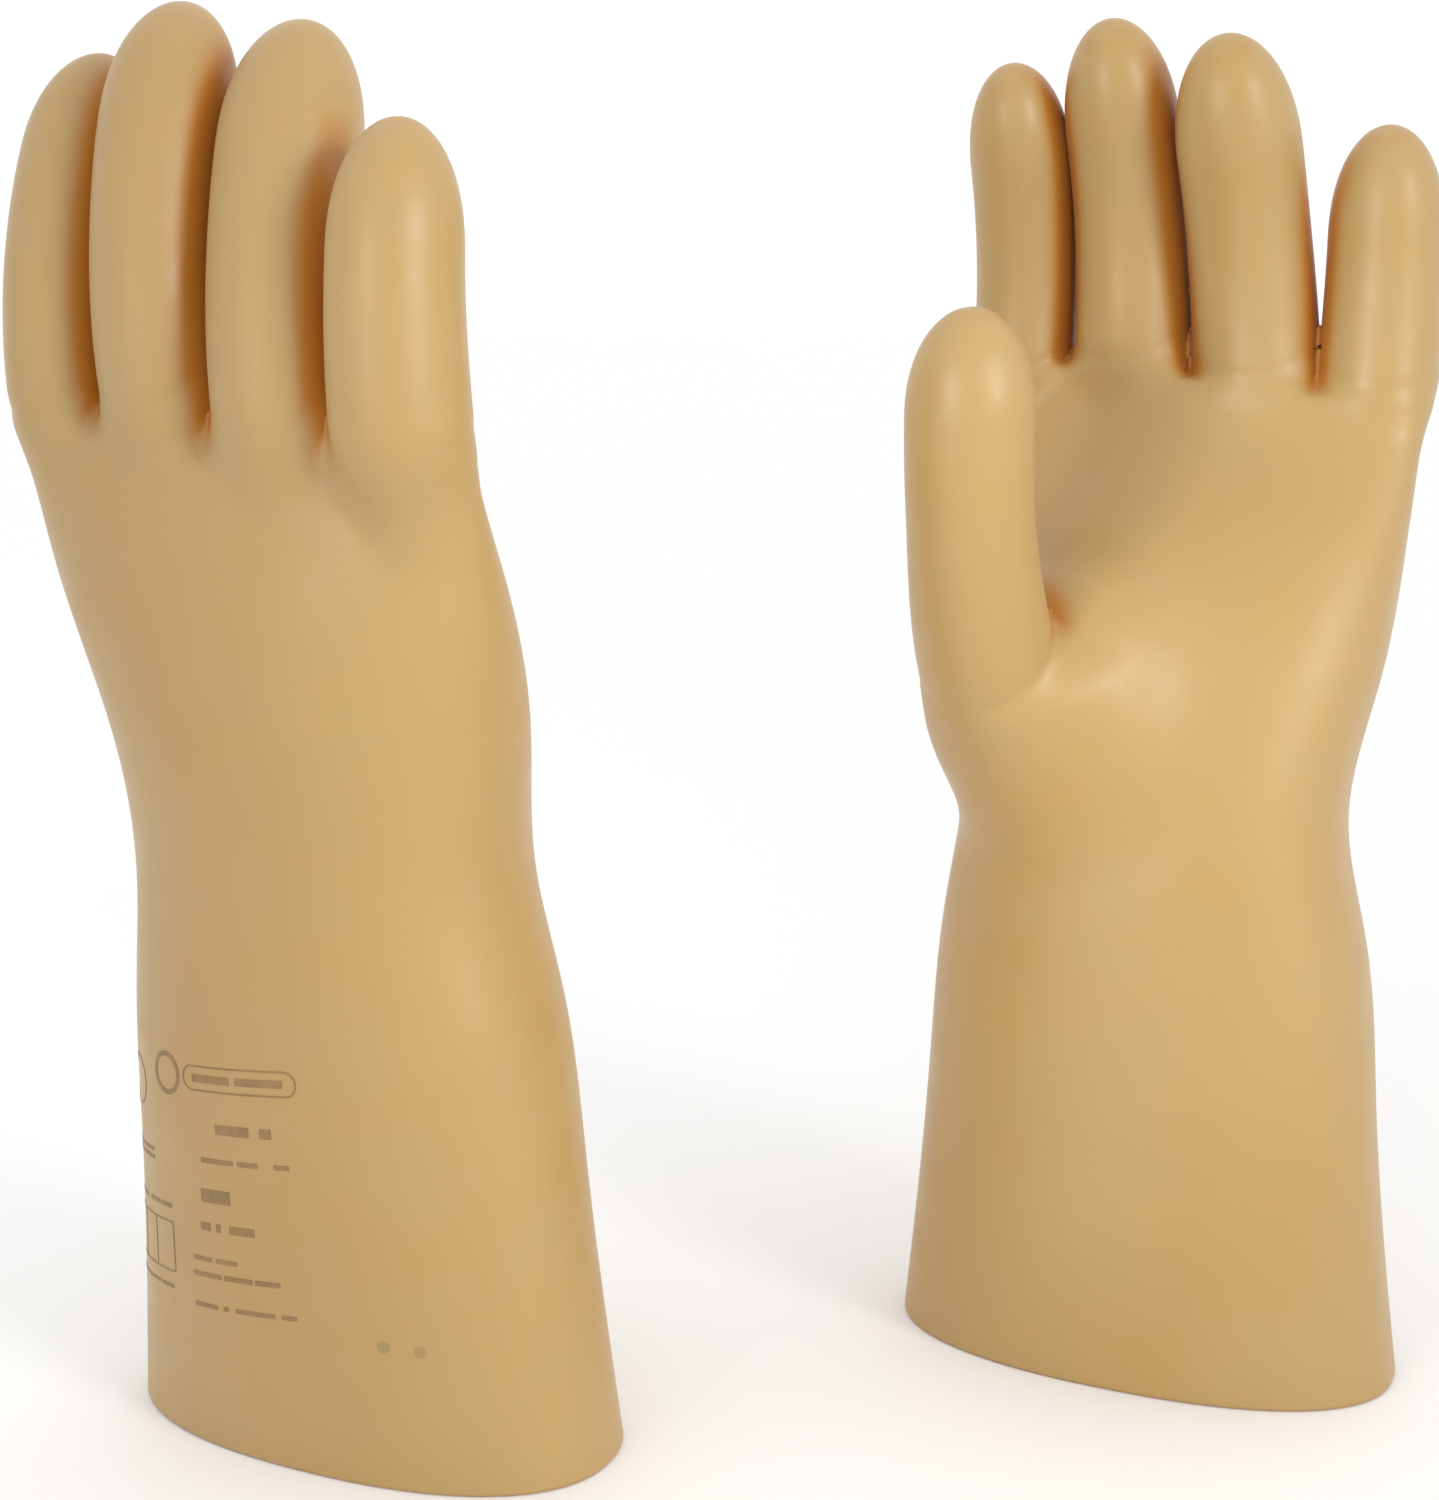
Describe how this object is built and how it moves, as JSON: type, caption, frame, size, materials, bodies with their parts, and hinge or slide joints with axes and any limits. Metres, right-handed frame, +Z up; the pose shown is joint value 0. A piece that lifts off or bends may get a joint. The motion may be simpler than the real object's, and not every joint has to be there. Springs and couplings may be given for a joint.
{
  "type": "electrical insulating gloves",
  "caption": "Pair of long, thick-walled dipped latex insulating gloves, one for each hand, with curled fingers, a forward thumb and a flared cuff, standing on their rims.",
  "frame": {"origin": "on the standing surface, midway between the two gloves", "axes": "+Z up from the cuff rims to the fingertips; +X from the thumb side to the little finger; +Y the way the right-hand palm faces"},
  "size_m": [0.312, 0.2394, 0.36],
  "materials": {
    "latex": "natural dipped latex, smooth and satin"
  },
  "bodies": {
    "right_gauntlet": {"right_gauntlet": "latex"},
    "right_hand": {"right_hand": "latex"},
    "right_thumb_lower": {"right_thumb_lower_stall": "latex"},
    "right_thumb_upper": {"right_thumb_upper_stall": "latex"},
    "right_index_lower": {"right_index_lower_stall": "latex"},
    "right_index_upper": {"right_index_upper_stall": "latex"},
    "right_middle_lower": {"right_middle_lower_stall": "latex"},
    "right_middle_upper": {"right_middle_upper_stall": "latex"},
    "right_ring_lower": {"right_ring_lower_stall": "latex"},
    "right_ring_upper": {"right_ring_upper_stall": "latex"},
    "right_little_lower": {"right_little_lower_stall": "latex"},
    "right_little_upper": {"right_little_upper_stall": "latex"},
    "left_gauntlet": {"left_gauntlet": "latex"},
    "left_hand": {"left_hand": "latex"},
    "left_thumb_lower": {"left_thumb_lower_stall": "latex"},
    "left_thumb_upper": {"left_thumb_upper_stall": "latex"},
    "left_index_lower": {"left_index_lower_stall": "latex"},
    "left_index_upper": {"left_index_upper_stall": "latex"},
    "left_middle_lower": {"left_middle_lower_stall": "latex"},
    "left_middle_upper": {"left_middle_upper_stall": "latex"},
    "left_ring_lower": {"left_ring_lower_stall": "latex"},
    "left_ring_upper": {"left_ring_upper_stall": "latex"},
    "left_little_lower": {"left_little_lower_stall": "latex"},
    "left_little_upper": {"left_little_upper_stall": "latex"}
  },
  "joints": [
    {"name": "right_wrist_flex", "type": "hinge", "parent": "right_gauntlet", "child": "right_hand", "pos_m": [-0.089, -0.0675, 0.152], "axis": [-1, 0, 0], "range_deg": [-25, 30], "stiffness_Nm_per_rad": 5},
    {"name": "right_thumb_root_flex", "type": "hinge", "parent": "right_hand", "child": "right_thumb_lower", "pos_m": [-0.1218, -0.0121, 0.214], "axis": [0, 1, 0], "range_deg": [-10, 30], "stiffness_Nm_per_rad": 1},
    {"name": "right_thumb_tip_flex", "type": "hinge", "parent": "right_thumb_lower", "child": "right_thumb_upper", "pos_m": [-0.12054, 0.00059, 0.25001], "axis": [0, 1, 0], "range_deg": [0, 45], "stiffness_Nm_per_rad": 0.8},
    {"name": "right_index_root_flex", "type": "hinge", "parent": "right_hand", "child": "right_index_lower", "pos_m": [-0.1371, -0.0981, 0.287], "axis": [-1, 0, 0], "range_deg": [0, 50], "stiffness_Nm_per_rad": 1},
    {"name": "right_index_tip_flex", "type": "hinge", "parent": "right_index_lower", "child": "right_index_upper", "pos_m": [-0.1371, -0.0924, 0.31605], "axis": [-1, 0, 0], "range_deg": [0, 45], "stiffness_Nm_per_rad": 0.8},
    {"name": "right_middle_root_flex", "type": "hinge", "parent": "right_hand", "child": "right_middle_lower", "pos_m": [-0.1079, -0.0999, 0.289], "axis": [-1, 0, 0], "range_deg": [0, 50], "stiffness_Nm_per_rad": 1},
    {"name": "right_middle_tip_flex", "type": "hinge", "parent": "right_middle_lower", "child": "right_middle_upper", "pos_m": [-0.1079, -0.09464, 0.323], "axis": [-1, 0, 0], "range_deg": [0, 45], "stiffness_Nm_per_rad": 0.8},
    {"name": "right_ring_root_flex", "type": "hinge", "parent": "right_hand", "child": "right_ring_lower", "pos_m": [-0.0743, -0.1, 0.285], "axis": [-0.9981, 0, -0.061], "range_deg": [0, 50], "stiffness_Nm_per_rad": 1},
    {"name": "right_ring_tip_flex", "type": "hinge", "parent": "right_ring_lower", "child": "right_ring_upper", "pos_m": [-0.07635, -0.09236, 0.31858], "axis": [-0.9981, 0, -0.061], "range_deg": [0, 45], "stiffness_Nm_per_rad": 0.8},
    {"name": "right_little_root_flex", "type": "hinge", "parent": "right_hand", "child": "right_little_lower", "pos_m": [-0.0415, -0.1045, 0.281], "axis": [-0.9997, 0, 0.0244], "range_deg": [0, 50], "stiffness_Nm_per_rad": 1},
    {"name": "right_little_tip_flex", "type": "hinge", "parent": "right_little_lower", "child": "right_little_upper", "pos_m": [-0.04096, -0.10373, 0.30298], "axis": [-0.9997, 0, 0.0244], "range_deg": [0, 45], "stiffness_Nm_per_rad": 0.8},
    {"name": "left_wrist_flex", "type": "hinge", "parent": "left_gauntlet", "child": "left_hand", "pos_m": [0.084, 0.0675, 0.152], "axis": [1, 0, 0], "range_deg": [-25, 30], "stiffness_Nm_per_rad": 5},
    {"name": "left_thumb_root_flex", "type": "hinge", "parent": "left_hand", "child": "left_thumb_lower", "pos_m": [0.0512, 0.0121, 0.214], "axis": [0, 1, 0], "range_deg": [-10, 30], "stiffness_Nm_per_rad": 1},
    {"name": "left_thumb_tip_flex", "type": "hinge", "parent": "left_thumb_lower", "child": "left_thumb_upper", "pos_m": [0.05246, -0.00059, 0.25001], "axis": [0, 1, 0], "range_deg": [0, 45], "stiffness_Nm_per_rad": 0.8},
    {"name": "left_index_root_flex", "type": "hinge", "parent": "left_hand", "child": "left_index_lower", "pos_m": [0.0359, 0.0981, 0.287], "axis": [1, 0, 0], "range_deg": [0, 50], "stiffness_Nm_per_rad": 1},
    {"name": "left_index_tip_flex", "type": "hinge", "parent": "left_index_lower", "child": "left_index_upper", "pos_m": [0.0359, 0.0924, 0.31605], "axis": [1, 0, 0], "range_deg": [0, 45], "stiffness_Nm_per_rad": 0.8},
    {"name": "left_middle_root_flex", "type": "hinge", "parent": "left_hand", "child": "left_middle_lower", "pos_m": [0.0651, 0.0999, 0.289], "axis": [1, 0, 0], "range_deg": [0, 50], "stiffness_Nm_per_rad": 1},
    {"name": "left_middle_tip_flex", "type": "hinge", "parent": "left_middle_lower", "child": "left_middle_upper", "pos_m": [0.0651, 0.09464, 0.323], "axis": [1, 0, 0], "range_deg": [0, 45], "stiffness_Nm_per_rad": 0.8},
    {"name": "left_ring_root_flex", "type": "hinge", "parent": "left_hand", "child": "left_ring_lower", "pos_m": [0.0987, 0.1, 0.285], "axis": [0.9981, 0, 0.061], "range_deg": [0, 50], "stiffness_Nm_per_rad": 1},
    {"name": "left_ring_tip_flex", "type": "hinge", "parent": "left_ring_lower", "child": "left_ring_upper", "pos_m": [0.09665, 0.09236, 0.31858], "axis": [0.9981, 0, 0.061], "range_deg": [0, 45], "stiffness_Nm_per_rad": 0.8},
    {"name": "left_little_root_flex", "type": "hinge", "parent": "left_hand", "child": "left_little_lower", "pos_m": [0.1315, 0.1045, 0.281], "axis": [0.9997, 0, -0.0244], "range_deg": [0, 50], "stiffness_Nm_per_rad": 1},
    {"name": "left_little_tip_flex", "type": "hinge", "parent": "left_little_lower", "child": "left_little_upper", "pos_m": [0.13204, 0.10373, 0.30298], "axis": [0.9997, 0, -0.0244], "range_deg": [0, 45], "stiffness_Nm_per_rad": 0.8},
    {"name": "left_glove_lift", "type": "slide", "parent": "right_gauntlet", "child": "left_gauntlet", "axis": [0, 0, 1], "range_m": [0, 0.06]}
  ]
}
